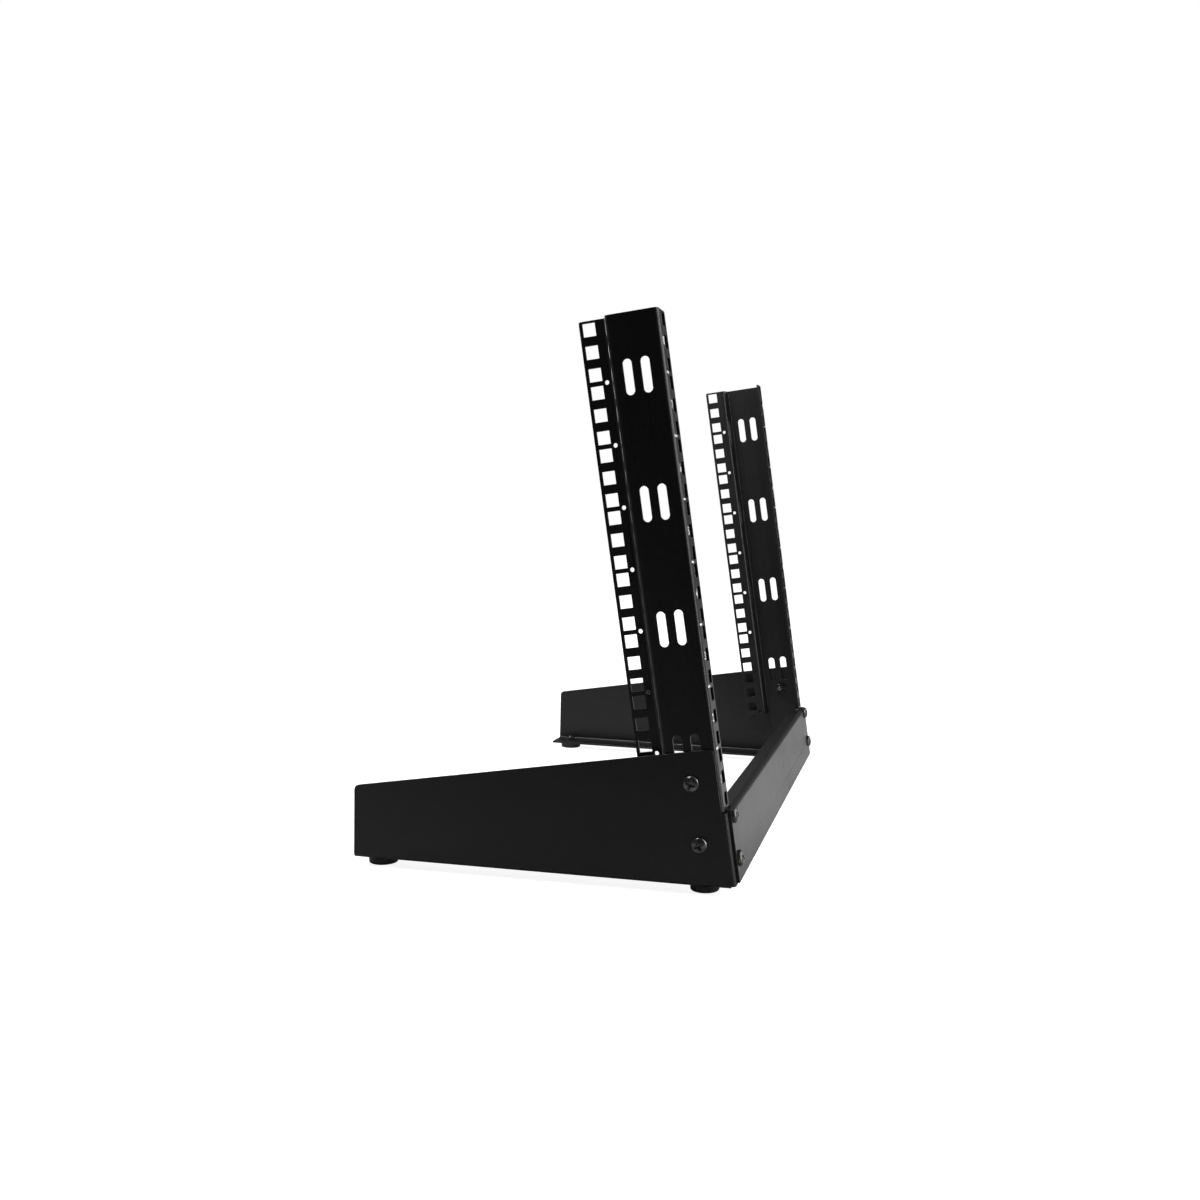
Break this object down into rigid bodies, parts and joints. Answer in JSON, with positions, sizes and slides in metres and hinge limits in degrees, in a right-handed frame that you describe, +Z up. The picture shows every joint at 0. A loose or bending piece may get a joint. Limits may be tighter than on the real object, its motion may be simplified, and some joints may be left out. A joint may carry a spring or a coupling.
{
  "type": "two post open frame rack",
  "caption": "Desktop two post open frame rack: two square-hole posts that lean back on side brackets with rubber feet, tied by a cross panel.",
  "frame": {"origin": "on the floor plane under the middle of the rack's bounding box", "axes": "+X to the right seen from the front, -Y is the front, +Z up"},
  "size_m": [0.5042, 0.2942, 0.4123],
  "materials": {
    "post_paint": "satin black powder coat",
    "bracket_paint": "satin black powder coat",
    "panel_paint": "satin black powder coat",
    "rubber_feet": "matt",
    "fasteners": "black zinc plate"
  },
  "bodies": {
    "root": {"cross_panel": "panel_paint", "left_base_bracket": "bracket_paint", "left_front_foot": "rubber_feet", "left_lower_panel_screw": "fasteners", "left_lower_side_nut": "fasteners", "left_lower_side_screw": "fasteners", "left_post": "post_paint", "left_rear_foot": "rubber_feet", "left_upper_panel_screw": "fasteners", "left_upper_side_nut": "fasteners", "left_upper_side_screw": "fasteners", "right_base_bracket": "bracket_paint", "right_front_foot": "rubber_feet", "right_lower_panel_screw": "fasteners", "right_lower_side_nut": "fasteners", "right_lower_side_screw": "fasteners", "right_post": "post_paint", "right_rear_foot": "rubber_feet", "right_upper_panel_screw": "fasteners", "right_upper_side_nut": "fasteners", "right_upper_side_screw": "fasteners"}
  },
  "joints": []
}
